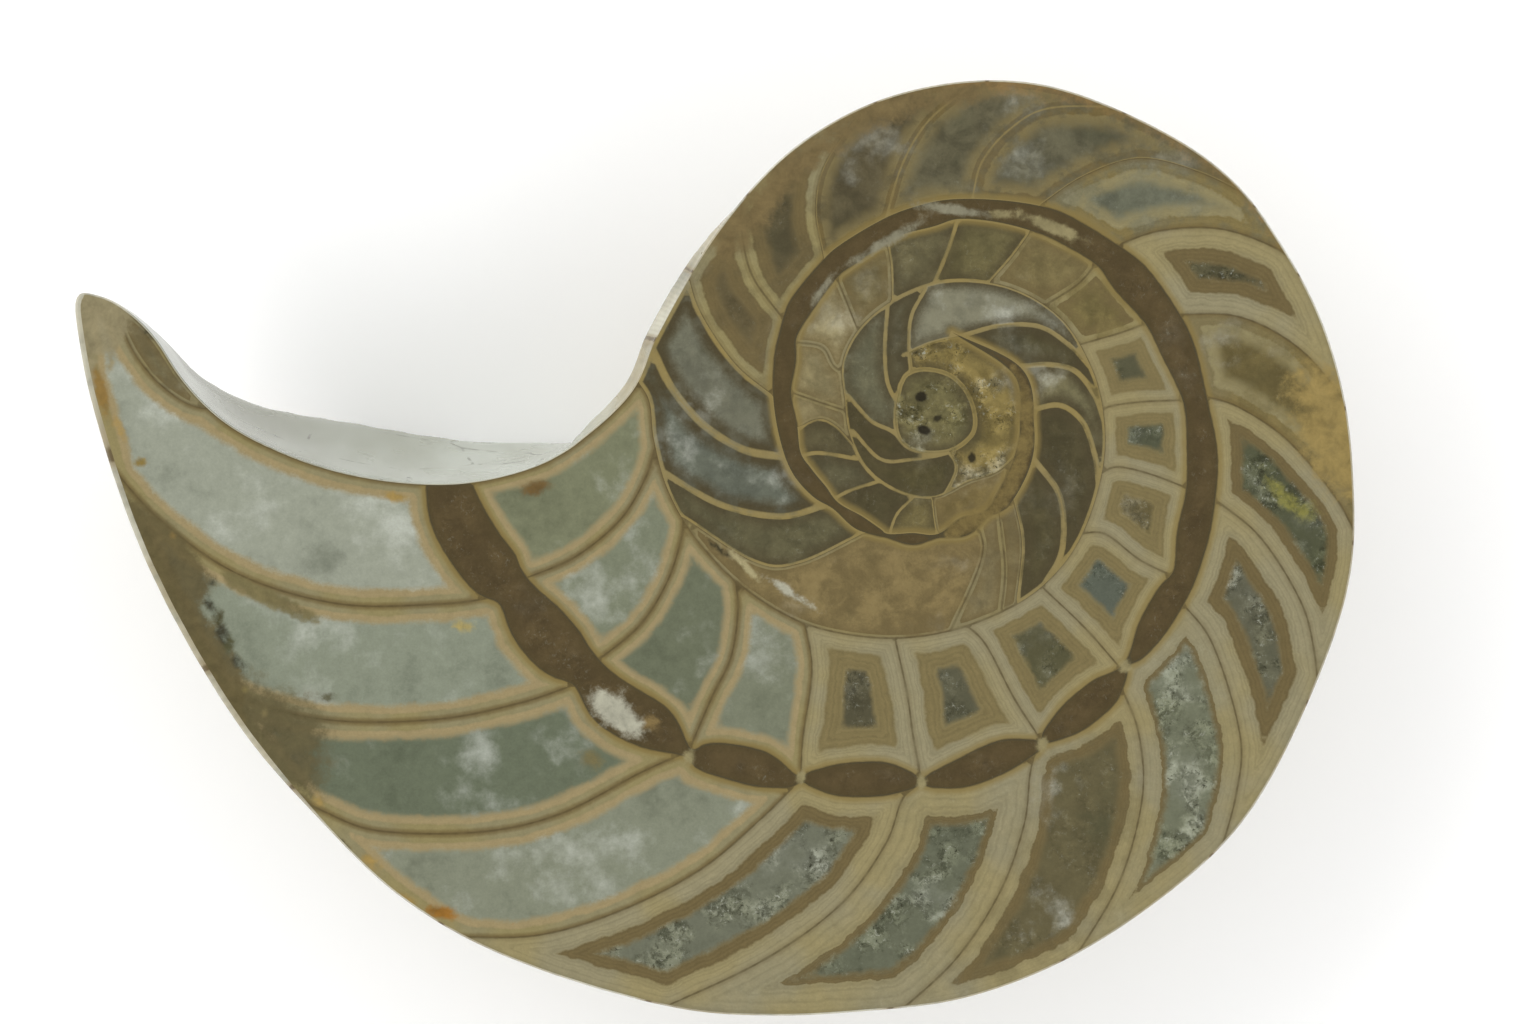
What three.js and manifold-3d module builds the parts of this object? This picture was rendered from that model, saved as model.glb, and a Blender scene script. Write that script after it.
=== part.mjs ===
// Half of a fossil nautilus, sawn along the plane of its coil and polished.
//
// One piece of stone. Its flat cut face looks up (+Z) and its rounded flank lies
// below, ground to a small level patch that it rests on. The living chamber is
// gone, so the last septum shows as a smooth hollow between the tip of the last
// whorl and the coil. Units are millimetres, X runs along the length of the
// piece, and the origin is the middle of its base.
import * as THREE from 'three';
import { ParametricGeometry } from 'three/addons/geometries/ParametricGeometry.js';
import { mergeVertices } from 'three/addons/utils/BufferGeometryUtils.js';
import Module from 'manifold-3d';

// Driving dimensions.
const LENGTH = 115;
const THICKNESS = 25;
const CREST_AT_TIP = 30;
const CREST_POWER = 0.55;
const UMBILICUS_DEPTH = 8;
const UMBILICUS = 0.05;
const SHOULDER = 0.3;
const VENTER_SQUARENESS = 2.3;
const SEPTUM_RISE = 4.3;
const BOWL_FULLNESS = 0.6;

// Outlines are read off the photograph, in its pixels, x to the right and y down.
// The cut face is square to the view, so one scale turns them all into millimetres.
const LEFT_PX = 78;
const RIGHT_PX = 1355;
const MM_PER_PX = LENGTH / (RIGHT_PX - LEFT_PX);
const COIL_CENTRE_PX = [935, 418];
const TIP_PX = [75, 300];

// The outside of the last whorl, from where the coil leaves the hollow, round the
// top, the right and the bottom, to past the tip.
const VENTER_PX = [
  [652, 345], [680, 293], [720, 229], [780, 160], [840, 118], [900, 93], [980, 79.5],
  [1060, 87], [1180, 139], [1240, 185], [1281, 240], [1320, 311], [1345, 390],
  [1355, 470], [1352, 580], [1300, 725], [1240, 828], [1160, 901], [1060, 964],
  [960, 1000], [860, 1012], [780, 1016], [680, 1009], [500, 954], [400, 896],
  [320, 819], [240, 726], [146, 560], [92, 400], [80, 340], TIP_PX, [76, 262],
];
// How far along that line the whorl before it shares the same outside.
const SHARED_PX_X = 1040;
// The whorl before, where the last one covers it, and the fillet at the hollow.
const COVERED_PX = [
  [1110, 160], [1160, 270], [1165, 400], [1120, 520], [1040, 610], [950, 640],
  [850, 640], [760, 600], [700, 545], [668, 490], [640, 450], [572, 452],
  [578, 442], [600, 424], [620, 405], [633, 390], [643, 372],
];
// The edge of the last septum on the cut face, from the tip into the coil, and the
// far corners of what is taken away beyond it. The bowl is widest between BOWL_PX_X.
const SEPTUM_PX = [
  [50, 292], [80, 291], [92, 293], [112, 299], [140, 319], [160, 341], [180, 373],
  [208, 405], [240, 430], [300, 458], [360, 475], [430, 483], [480, 480], [540, 464],
  [580, 443], [640, 420], [720, 412], [800, 418], [870, 440],
];
const BEYOND_PX = [[900, 400], [860, 300], [800, 60], [50, 60]];
const BOWL_PX_X = [150, 570];

const VENTER_STEPS = 116;
const COVERED_STEPS = 44;
const SEPTUM_STEPS = 56;
const RINGS_ON_VENTER = 22;
const RINGS_ON_UMBILICUS = 9;
const SEPTUM_LAYERS = 14;
const OVERSHOOT = 4;

const wasm = await Module();
wasm.setup();

const toMillimetres = ([x, y]) =>
  new THREE.Vector3(x - COIL_CENTRE_PX[0], COIL_CENTRE_PX[1] - y, 0).multiplyScalar(MM_PER_PX);

const smoothLine = (pixels, steps) =>
  new THREE.CatmullRomCurve3(pixels.map(toMillimetres), false, 'centripetal').getPoints(steps);

const TIP_RADIUS = toMillimetres(TIP_PX).length();

// A closed three.js mesh as a solid that can be joined and cut.
function solidFrom(geometry) {
  const bare = geometry.clone();
  bare.deleteAttribute('normal');
  bare.deleteAttribute('uv');
  const merged = mergeVertices(bare, 1e-4);
  const corners = merged.index.array;
  const kept = [];
  for (let i = 0; i < corners.length; i += 3) {
    const [a, b, c] = corners.slice(i, i + 3);
    if (a !== b && b !== c && c !== a) kept.push(a, b, c);
  }
  const mesh = new wasm.Mesh({
    numProp: 3,
    vertProperties: new Float32Array(merged.attributes.position.array),
    triVerts: new Uint32Array(kept),
  });
  return new wasm.Manifold(mesh);
}

// Depth of the flank below the cut face, at share rho of the way from the coil's
// centre to the venter, for a whorl that is crest deep at its thickest.
function flankDepth(crest, rho) {
  if (rho <= SHOULDER) {
    const climb = THREE.MathUtils.smoothstep(rho, UMBILICUS, SHOULDER);
    return THREE.MathUtils.lerp(UMBILICUS_DEPTH, crest, climb);
  }
  const out = (rho - SHOULDER) / (1 - SHOULDER);
  return crest * (1 - out ** VENTER_SQUARENESS) ** (1 / VENTER_SQUARENESS);
}

// The shares rho of the rings on the back, from the venter to the centre.
function backRings() {
  const rings = [];
  for (let i = 0; i < RINGS_ON_VENTER; i++) {
    const turn = (i / RINGS_ON_VENTER) * (Math.PI / 2);
    rings.push(SHOULDER + (1 - SHOULDER) * Math.cos(turn) ** (2 / VENTER_SQUARENESS));
  }
  for (let i = 0; i <= RINGS_ON_UMBILICUS; i++) {
    rings.push(SHOULDER * (1 - i / RINGS_ON_UMBILICUS));
  }
  return rings;
}

// A coil whose cut face has the given closed outline: flat on top, with a round
// venter, a broad flank and an umbilicus below.
function coil(outline) {
  const rings = backRings();
  const around = outline.length;
  const surface = (u, v, target) => {
    const rim = outline[Math.round(u * around) % around];
    const ring = Math.round(v * rings.length);
    if (ring === 0) return target.set(0, 0, 0);
    const rho = rings[ring - 1];
    const crest = CREST_AT_TIP * (rim.length() / TIP_RADIUS) ** CREST_POWER;
    return target.set(rim.x * rho, rim.y * rho, ring === 1 ? 0 : -flankDepth(crest, rho));
  };
  return solidFrom(new ParametricGeometry(surface, around, rings.length));
}

// What lies beyond the last septum. The septum is a bowl, so with depth its wall
// leans back towards where the living chamber was.
function beyondSeptum() {
  const edge = smoothLine(SEPTUM_PX, SEPTUM_STEPS);
  const shape = new THREE.Shape([...edge, ...BEYOND_PX.map(toMillimetres)]);
  const height = THICKNESS + 2 * OVERSHOOT;
  const block = new THREE.ExtrudeGeometry(shape, {
    depth: height, steps: SEPTUM_LAYERS, bevelEnabled: false,
  });
  block.translate(0, 0, -THICKNESS - OVERSHOOT);
  const [bowlStart, bowlEnd] = BOWL_PX_X.map((x) => toMillimetres([x, 0]).x);
  const place = block.attributes.position;
  for (let i = 0; i < place.count; i++) {
    const along = THREE.MathUtils.clamp((place.getX(i) - bowlStart) / (bowlEnd - bowlStart), 0, 1);
    const depth = Math.max(0, -place.getZ(i)) / THICKNESS;
    const swell = Math.abs(Math.sin(Math.PI * along)) ** BOWL_FULLNESS;
    place.setY(i, place.getY(i) + SEPTUM_RISE * swell * depth ** 2);
  }
  return solidFrom(block);
}

function shellHalf() {
  const venter = smoothLine(VENTER_PX, VENTER_STEPS);
  const shareEnd = toMillimetres([SHARED_PX_X, 0]).x;
  const shared = venter.slice(0, venter.findIndex((point) => point.x > shareEnd));
  const covered = smoothLine(COVERED_PX, COVERED_STEPS);
  const lastWhorl = coil(venter).subtract(beyondSeptum());
  const whorlBefore = coil([...shared, ...covered]);
  const slab = new THREE.BoxGeometry(4 * LENGTH, 4 * LENGTH, THICKNESS);
  slab.translate(0, 0, -THICKNESS / 2);
  return lastWhorl.add(whorlBefore).intersect(solidFrom(slab));
}

function geometryFrom(solid) {
  const mesh = solid.getMesh();
  const geometry = new THREE.BufferGeometry();
  const place = new THREE.BufferAttribute(mesh.vertProperties, mesh.numProp);
  geometry.setAttribute('position', place);
  geometry.setIndex(new THREE.BufferAttribute(mesh.triVerts, 1));
  geometry.computeBoundingBox();
  const box = geometry.boundingBox;
  const middle = box.getCenter(new THREE.Vector3());
  geometry.translate(-middle.x, -middle.y, -box.min.z);
  geometry.computeVertexNormals();
  return geometry;
}

const polishedFossil = new THREE.MeshStandardMaterial({
  color: new THREE.Color(0.5, 0.45, 0.31),
  roughness: 0.3,
  metalness: 0,
});

const shell = new THREE.Mesh(geometryFrom(shellHalf()), polishedFossil);
shell.name = 'shell_half';

const fossil = new THREE.Group();
fossil.add(shell);

export default fossil;
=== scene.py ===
import math
from collections import deque

import bpy
import numpy as np
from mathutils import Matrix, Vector, kdtree
from mathutils.geometry import delaunay_2d_cdt


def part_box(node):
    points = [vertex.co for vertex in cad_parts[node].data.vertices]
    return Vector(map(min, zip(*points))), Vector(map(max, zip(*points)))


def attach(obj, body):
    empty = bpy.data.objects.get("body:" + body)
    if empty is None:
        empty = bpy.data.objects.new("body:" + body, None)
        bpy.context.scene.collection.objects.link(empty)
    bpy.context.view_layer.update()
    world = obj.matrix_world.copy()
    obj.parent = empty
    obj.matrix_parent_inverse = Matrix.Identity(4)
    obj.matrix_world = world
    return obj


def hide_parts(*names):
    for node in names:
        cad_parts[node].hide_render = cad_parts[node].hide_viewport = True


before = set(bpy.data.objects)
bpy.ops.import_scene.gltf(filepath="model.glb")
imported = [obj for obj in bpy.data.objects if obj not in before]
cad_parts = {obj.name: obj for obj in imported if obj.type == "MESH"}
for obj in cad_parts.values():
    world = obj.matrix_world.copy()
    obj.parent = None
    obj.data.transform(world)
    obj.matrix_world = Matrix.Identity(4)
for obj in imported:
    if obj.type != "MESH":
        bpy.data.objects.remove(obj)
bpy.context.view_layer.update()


# The rough half: the sawn fossil before its face is polished. It is one piece of
# calcite with a rounded flank and the hollow of the last septum, ground smooth, so
# the frame's solid is remeshed finely, smoothed and sawn off level at the top.
MM = 0.001
half_low, half_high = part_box("shell_half")
FACE_LEVEL = half_high[2]
RIM_RADIUS = 0.16 * MM
SAWN_OFF = 3 * MM
GRAIN = 0.62 * MM
FIRST_GRAIN = 0.6 * GRAIN
FIRST_PASSES = 16
SMOOTHING_PASSES = 6
WEARING_PASSES = 24
DEEP = 5 * MM

# The photograph sees the cut face square on, so one scale turns its pixels into metres.
FACE_LEFT_PX = 78
FACE_RIGHT_PX = 1355
FACE_TOP_PX = 79.5
FACE_LENGTH = 115 * MM
PIXEL = FACE_LENGTH / (FACE_RIGHT_PX - FACE_LEFT_PX)


def on_face(x, y):
    """Place on the cut face, in metres, of a pixel of the photograph."""
    return half_high[0] + (x - FACE_RIGHT_PX) * PIXEL, half_high[1] - (y - FACE_TOP_PX) * PIXEL


def select_nothing():
    if bpy.context.object and bpy.context.object.mode != "OBJECT":
        bpy.ops.object.mode_set(mode="OBJECT")
    bpy.ops.object.select_all(action="DESELECT")


def take_up(piece):
    select_nothing()
    piece.select_set(True)
    bpy.context.view_layer.objects.active = piece


frame_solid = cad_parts["shell_half"]
rough = bpy.data.objects.new("rough_half", frame_solid.data.copy())
bpy.context.collection.objects.link(rough)
rough.data.materials.clear()
for corner in rough.data.vertices:
    if corner.co.z > FACE_LEVEL - 1e-6:
        corner.co.z += SAWN_OFF

take_up(rough)
bpy.ops.object.mode_set(mode="EDIT")
bpy.ops.mesh.select_all(action="SELECT")
bpy.ops.mesh.remove_doubles(threshold=1e-6)
bpy.ops.object.mode_set(mode="OBJECT")

# A fine skin takes the sharp corners off, and an even one then runs over them smoothly.
for grain, passes in ((FIRST_GRAIN, FIRST_PASSES), (GRAIN, SMOOTHING_PASSES)):
    remesh = rough.modifiers.new("skin", "REMESH")
    remesh.mode = "VOXEL"
    remesh.voxel_size = grain
    bpy.ops.object.modifier_apply(modifier=remesh.name)
    smooth = rough.modifiers.new("ground smooth", "SMOOTH")
    smooth.factor = 0.5
    smooth.iterations = passes
    bpy.ops.object.modifier_apply(modifier=smooth.name)
deep = rough.vertex_groups.new(name="deep")
deep.add([v.index for v in rough.data.vertices if v.co.z < FACE_LEVEL - DEEP], 1, "REPLACE")
worn = rough.modifiers.new("worn lower down", "SMOOTH")
worn.factor = 0.5
worn.iterations = WEARING_PASSES
worn.vertex_group = deep.name
bpy.ops.object.modifier_apply(modifier=worn.name)

bpy.ops.object.mode_set(mode="EDIT")
bpy.ops.mesh.select_all(action="SELECT")
bpy.ops.mesh.bisect(
    plane_co=(0, 0, FACE_LEVEL - RIM_RADIUS), plane_no=(0, 0, 1), clear_outer=True, threshold=1e-7
)
bpy.ops.object.mode_set(mode="OBJECT")


# The flank stands a little proud of the face in two places: beside the coil, where the
# shell's pale wall shows as a strip, and in the hollow, whose bowl deepens downwards.
# Both are ground into the stone, so points of the rough half move sideways.
COIL_BULGE = [
    (560, 447, 0.0), (585, 430, 0.6), (604, 412, 0.8), (640, 364, 0.9), (672, 302, 0.9),
    (700, 257, 0.7), (742, 200, 0.0),
]
HOLLOW_BULGE = [
    (150, 330, 0.0), (180, 373, 0.4), (208, 405, 0.7), (300, 458, 0.9), (430, 483, 0.9),
    (540, 464, 0.7), (600, 430, 0.0),
]


def smooth_line(points, spacing):
    """A smooth curve through the points, as places an even spacing apart."""
    points = np.array(points, float)
    before = 2 * points[0] - points[1]
    after = 2 * points[-1] - points[-2]
    knots = np.vstack([before, points, after])
    curve = []
    for p0, p1, p2, p3 in zip(knots, knots[1:], knots[2:], knots[3:]):
        steps = max(2, int(np.linalg.norm((p2 - p1)[:2]) / spacing * 3))
        for t in np.arange(steps) / steps:
            pull = 2 * p1 + (p2 - p0) * t + (2 * p0 - 5 * p1 + 4 * p2 - p3) * t**2
            curve.append((pull + (3 * p1 - p0 - 3 * p2 + p3) * t**3) / 2)
    curve = np.array(curve + [points[-1]])
    length = np.concatenate([[0], np.cumsum(np.linalg.norm(np.diff(curve[:, :2], axis=0), axis=1))])
    stations = np.linspace(0, length[-1], max(2, round(length[-1] / spacing) + 1))
    return np.column_stack([np.interp(stations, length, column) for column in curve.T])


def tree_of(points):
    tree = kdtree.KDTree(len(points))
    for index, point in enumerate(points):
        tree.insert((point[0], point[1], 0), index)
    tree.balance()
    return tree


def nearest_on(line, points):
    """For each point, the number of the line's nearest place, and how far away that is."""
    tree = tree_of(line)
    found = [tree.find((point[0], point[1], 0)) for point in points]
    return np.array([number for _, number, _ in found]), np.array([away for _, _, away in found])


def fade(values, low, high):
    """A smooth step from 0 to 1 as values go from low to high."""
    share = np.clip((values - low) / (high - low), 0, 1)
    return share * share * (3 - 2 * share)


def push_out(points, path, reach, start, full, fading=None):
    """Moves points near a path on the face sideways, by its third number in millimetres."""
    line = smooth_line([(*on_face(x, y), amount * MM) for x, y, amount in path], 0.5 * MM)
    heading = np.gradient(line[:, :2], axis=0)
    heading /= np.linalg.norm(heading, axis=1, keepdims=True)
    outward = np.column_stack([-heading[:, 1], heading[:, 0]])
    nearest, away = nearest_on(line, points)
    below = FACE_LEVEL - points[:, 2]
    weight = fade(away, reach, reach * 0.5) * fade(below, start * MM, full * MM)
    if fading:
        weight *= fade(below, fading[1] * MM, fading[0] * MM)
    points[:, :2] += outward[nearest] * (line[nearest, 2] * weight)[:, None]


flank_points = np.array([v.co for v in rough.data.vertices])
flank_faces = [tuple(p.vertices) for p in rough.data.polygons]
push_out(flank_points, COIL_BULGE, 9 * MM, 0.2, 2.2, fading=(9, 20))
push_out(flank_points, HOLLOW_BULGE, 12 * MM, 3, 22)


# The rim of the cut: the saw left a sharp edge, and polishing rounded it by a hair.
# Rings of points run round the open top of the rough half, each a little further in
# and up, and the last one is the outline of the flat face.
def open_edge_loop(mesh):
    """Indices of the vertices round a mesh's one open edge, in order."""
    uses = {}
    for polygon in mesh.polygons:
        for edge in polygon.edge_keys:
            uses[edge] = uses.get(edge, 0) + 1
    neighbours = {}
    for (a, b), count in uses.items():
        if count == 1:
            neighbours.setdefault(a, []).append(b)
            neighbours.setdefault(b, []).append(a)
    start = next(iter(neighbours))
    loop = [start]
    previous, here = None, start
    while True:
        onward = [v for v in neighbours[here] if v != previous][0]
        if onward == start:
            return loop
        loop.append(onward)
        previous, here = here, onward


rim_loop = open_edge_loop(rough.data)
rim = flank_points[rim_loop, :2]
following = np.roll(rim, -1, axis=0)
if np.sum(rim[:, 0] * following[:, 1] - following[:, 0] * rim[:, 1]) < 0:
    rim_loop.reverse()
    rim = rim[::-1]
along = np.roll(rim, -3, axis=0) - np.roll(rim, 3, axis=0)
inward = np.stack([-along[:, 1], along[:, 0]], axis=1)
inward /= np.linalg.norm(inward, axis=1, keepdims=True)

# On the far left the rounding is wide enough to show the shell's pale wall.
RIM_LEFT_WIDTH = 0.5 * MM
RIM_LEFT_PX = (250, 340)
facing_left = fade(inward[:, 0], 0.35, 0.8)
far_left = fade(rim[:, 0], on_face(RIM_LEFT_PX[1], 0)[0], on_face(RIM_LEFT_PX[0], 0)[0])
rim_width = RIM_RADIUS + (RIM_LEFT_WIDTH - RIM_RADIUS) * facing_left * far_left
RIM_TURNS = [math.radians(turn) for turn in (30, 55, 75, 90)]
rim_rings = []
for turn in RIM_TURNS:
    ring = rim + inward * rim_width[:, None] * (1 - math.cos(turn))
    level = FACE_LEVEL - RIM_RADIUS * (1 - math.sin(turn))
    rim_rings.append(np.column_stack([ring, np.full(len(ring), level)]))
face_outline = rim_rings[-1][:, :2]


# The walls on the cut face: where the saw met the whorl's wall, the septa between
# the chambers and the siphuncle that threads them. They are colour in one solid
# stone, so they become lines of the face's mesh, at points read off the photograph.
WHORL_WALL = [
    (632, 374), (649, 400), (654, 440), (668, 490), (695, 537), (737, 582), (790, 617),
    (840, 633), (900, 638), (960, 628), (1020, 602), (1060, 568), (1086, 525), (1103, 465),
    (1103, 412), (1090, 365), (1060, 318), (1010, 288), (950, 281), (900, 297),
    (862, 326), (843, 362), (845, 400), (850, 435), (868, 470), (900, 492), (935, 497),
    (968, 482), (1000, 470), (1030, 440),
]
OUTER_SEPTA = [
    [(112, 292), (128, 340), (151, 375), (178, 398), (202, 408), (228, 408)],
    [(492, 598), (440, 604), (340, 604), (240, 575), (160, 520), (104, 458)],
    [(574, 685), (520, 703), (440, 719), (340, 721), (260, 705), (196, 672)],
    [(682, 754), (640, 773), (560, 814), (480, 832), (380, 831), (325, 812), (286, 790)],
    [(801, 779), (762, 818), (700, 870), (620, 911), (540, 935), (462, 937), (430, 934)],
    [(920, 784), (902, 800), (885, 845), (840, 905), (760, 962), (640, 1018)],
    [(1036, 748), (1030, 775), (1024, 825), (1000, 892), (955, 960), (890, 1020)],
    [(1122, 688), (1139, 735), (1142, 800), (1118, 885), (1066, 972)],
    [(1180, 600), (1213, 645), (1240, 735), (1236, 795), (1217, 864)],
    [(1212, 497), (1260, 537), (1300, 600), (1314, 650), (1320, 712)],
    [(1204, 396), (1240, 408), (1288, 441), (1335, 497), (1361, 545)],
    [(1174, 314), (1240, 317), (1300, 349), (1352, 408)],
    [(1110, 248), (1160, 231), (1220, 229), (1275, 248), (1305, 272)],
    [(1038, 206), (1085, 175), (1140, 158), (1200, 172), (1262, 202)],
    [(972, 199), (982, 162), (1010, 129), (1050, 108), (1128, 107)],
    [(886, 218), (902, 165), (925, 125), (955, 98), (988, 76)],
    [(824, 258), (816, 210), (826, 162), (874, 94)],
    [(784, 320), (752, 275), (741, 225), (743, 190)],
    [(776, 398), (735, 364), (700, 312), (686, 268)],
    [(786, 457), (745, 450), (705, 426), (672, 388), (646, 336)],
]
SECOND_WHORL_OUTER_SEPTA = [
    [(826, 506), (780, 517), (720, 505), (658, 470)],
    [(868, 531), (800, 563), (755, 562), (683, 517)],
    [(980, 530), (983, 550), (974, 580), (950, 632)],
    [(1000, 520), (1005, 570), (1001, 614)],
    [(1014, 500), (1022, 545), (1016, 606)],
    [(1033, 458), (1060, 497), (1062, 550), (1044, 585)],
    [(1030, 410), (1060, 405), (1083, 422), (1095, 455), (1099, 485)],
    [(1016, 367), (1050, 365), (1076, 372), (1095, 397), (1105, 425)],
    [(903, 355), (930, 343), (962, 335), (1000, 325), (1040, 326), (1070, 345), (1090, 366)],
    [(911, 372), (909, 345), (912, 315), (927, 287)],
    [(896, 402), (887, 380), (885, 345), (888, 302)],
    [(899, 437), (890, 430), (870, 420), (847, 394)],
    [(968, 445), (945, 454), (910, 460), (880, 459), (852, 430)],
    [(950, 452), (956, 470), (944, 496)],
]
CENTRE_RING = [
    (900, 385), (895, 415), (900, 440), (920, 452), (950, 451), (972, 435), (975, 415),
    (967, 392), (950, 375), (925, 369), (907, 374), (900, 385),
]
INNER_SEPTA = [
    [(524, 579), (575, 557), (620, 520), (645, 479), (655, 448)],
    [(596, 662), (640, 625), (668, 580), (682, 535), (683, 514)],
    [(690, 748), (712, 697), (731, 657), (738, 610), (735, 578)],
    [(801, 774), (803, 738), (812, 670), (804, 618)],
    [(921, 778), (913, 735), (907, 693), (894, 634)],
    [(1041, 740), (1014, 698), (986, 645), (964, 623)],
    [(1122, 670), (1085, 628), (1038, 583)],
    [(1175, 577), (1140, 560), (1105, 534), (1078, 534)],
    [(1192, 490), (1150, 474), (1117, 467), (1098, 475)],
    [(1186, 400), (1140, 402), (1108, 407), (1098, 415)],
    [(1152, 321), (1120, 333), (1078, 345)],
    [(1099, 260), (1078, 284), (1044, 306)],
    [(1030, 232), (1010, 259), (984, 288)],
    [(958, 219), (948, 250), (933, 286)],
    [(886, 237), (891, 265), (892, 306)],
    [(836, 276), (849, 308), (860, 336)],
    [(794, 342), (822, 347), (834, 366), (850, 376)],
    [(790, 392), (822, 403), (850, 412)],
    [(806, 436), (803, 426), (820, 419), (836, 426), (853, 444)],
    [(799, 456), (820, 453), (858, 459)],
    [(834, 499), (852, 490), (884, 480)],
    [(890, 532), (898, 513), (918, 493)],
    [(938, 536), (935, 520), (932, 494)],
]
# Points along the siphuncle's middle, each with its half width: it swells inside a
# chamber and is pinched to a neck where it passes through a septum.
SIPHUNCLE = [
    (446, 474, 21), (456, 513, 27), (474, 546, 28), (495, 573, 27), (514, 592, 19), (536, 623, 27),
    (561, 651, 27), (587, 673, 18), (614, 704, 25), (655, 728, 23), (682, 748, 8), (691, 753, 4),
    (700, 757, 12), (722, 760, 17), (760, 769, 18), (788, 779, 9), (801, 779, 3), (812, 779, 8),
    (840, 780, 16), (882, 779, 17), (910, 781, 9), (921, 782, 3), (934, 780, 8), (965, 772, 15),
    (1003, 756, 16), (1032, 747, 8), (1042, 742, 3), (1050, 735, 8), (1074, 717, 16),
    (1103, 693, 16), (1119, 677, 8), (1127, 664, 3), (1138, 652, 8), (1152, 628, 14),
    (1170, 598, 15), (1185, 574, 12), (1193, 535, 16), (1201, 492, 15), (1202, 450, 15),
    (1195, 400, 12), (1178, 350, 17), (1160, 315, 17), (1130, 278, 19), (1104, 253, 14),
    (1062, 228, 14), (1034, 218, 13), (997, 211, 11), (958, 209, 10), (930, 215, 12),
    (892, 227, 11), (848, 254, 12), (828, 271, 11), (801, 306, 12), (788, 335, 9), (785, 360, 11),
    (782, 393, 9), (787, 425, 10), (793, 455, 8), (804, 474, 9), (820, 492, 8), (836, 506, 4),
    (858, 522, 7), (878, 532, 4), (888, 536, 2), (913, 539, 6), (938, 536, 2), (964, 527, 9),
    (986, 514, 3), (1003, 500, 8), (1022, 462, 9), (1027, 425, 7), (1018, 372, 5), (952, 332, 0),
]
LINE_SPACING = 0.3 * MM
FINE_GRID = 0.34 * MM
COARSE_GRID = 0.5 * MM
COIL_CENTRE_PX = (935, 415)
FINE_WITHIN = 250 * PIXEL
SEPTUM_REACH = 14 * PIXEL
CLEAR_OF_LINES = 0.18 * MM
TRIANGLES_INSIDE = 1


def face_line(pixels, spacing=LINE_SPACING):
    return smooth_line([on_face(*pixel) for pixel in pixels], spacing)


def inside_outline(points, outline):
    """Which of the points lie inside a closed outline."""
    inside = np.zeros(len(points), bool)
    for (ax, ay), (bx, by) in zip(outline, np.roll(outline, -1, axis=0)):
        spans = (ay > points[:, 1]) != (by > points[:, 1])
        crossing = ax + (points[:, 1] - ay) * (bx - ax) / ((by - ay) or 1e-12)
        inside ^= spans & (points[:, 0] < crossing)
    return inside


def siphuncle_sides(spacing):
    tube = smooth_line([(*on_face(x, y), wide * PIXEL) for x, y, wide in SIPHUNCLE], spacing)
    heading = np.gradient(tube[:, :2], axis=0)
    heading /= np.linalg.norm(heading, axis=1, keepdims=True)
    beside = np.column_stack([-heading[:, 1], heading[:, 0]]) * tube[:, 2:]
    return [tube[:, :2] + beside, tube[:, :2] - beside]


def long_walls(spacing):
    return siphuncle_sides(spacing) + [face_line(line, spacing) for line in (WHORL_WALL, CENTRE_RING)]


def septa(spacing):
    lines = OUTER_SEPTA + SECOND_WHORL_OUTER_SEPTA + INNER_SEPTA
    return [face_line(line, spacing) for line in lines]


def end_on_wall(line, wall_points, wall_tree):
    """The line from its first end, cut or lengthened to a long wall that is near there."""
    length = np.concatenate([[0], np.cumsum(np.linalg.norm(np.diff(line, axis=0), axis=1))])
    first_stretch = line[length < 2 * SEPTUM_REACH]
    found = [wall_tree.find((x, y, 0)) for x, y in first_stretch]
    away = [distance for _, _, distance in found]
    closest = int(np.argmin(away))
    if away[closest] > SEPTUM_REACH:
        return line
    return np.vstack([wall_points[found[closest][1]], line[closest + 1:]])


def septa_between(walls, spacing):
    wall_points = np.vstack(walls)
    wall_tree = tree_of(wall_points)
    for line in septa(spacing):
        line = end_on_wall(line, wall_points, wall_tree)
        yield end_on_wall(line[::-1], wall_points, wall_tree)


def hexagonal_grid(spacing):
    rows = np.arange(half_low[1], half_high[1], spacing * math.sqrt(3) / 2)
    grid = []
    for number, y in enumerate(rows):
        xs = np.arange(half_low[0] + (number % 2) * spacing / 2, half_high[0], spacing)
        grid.append(np.column_stack([xs, np.full(len(xs), y)]))
    return np.vstack(grid)


def within_coil(points):
    return np.linalg.norm(points - np.array(on_face(*COIL_CENTRE_PX)), axis=1) < FINE_WITHIN


# The flat face is one mesh whose edges follow the walls. A wall that reaches the rim
# ends on one of its points, so the face and the rim share every point.
plan = [Vector(point) for point in face_outline]
rim_size = len(plan)
rim_tree = tree_of(face_outline)
plan_edges = [(i, (i + 1) % rim_size) for i in range(rim_size)]


def plan_number(point):
    """The number of the plan's point at this place, added if there is none yet."""
    place = tuple(point)
    if place not in plan_places:
        plan_places[place] = len(plan)
        plan.append(Vector(point))
    return plan_places[place]


def draw_on_plan(line):
    """Adds a line to the plan, and joins an end past the rim to the rim."""
    inside = inside_outline(line, face_outline)
    kept = line[inside]
    run = [plan_number(point) for point in kept]
    if not inside[0]:
        run.insert(0, rim_tree.find((*kept[0], 0))[1])
    if not inside[-1]:
        run.append(rim_tree.find((*kept[-1], 0))[1])
    plan_edges.extend(zip(run, run[1:]))


plan_places = {}
drawn = long_walls(LINE_SPACING)
for line in [*drawn, *septa_between(drawn, LINE_SPACING)]:
    draw_on_plan(line)
walls_end = len(plan_edges)

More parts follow.
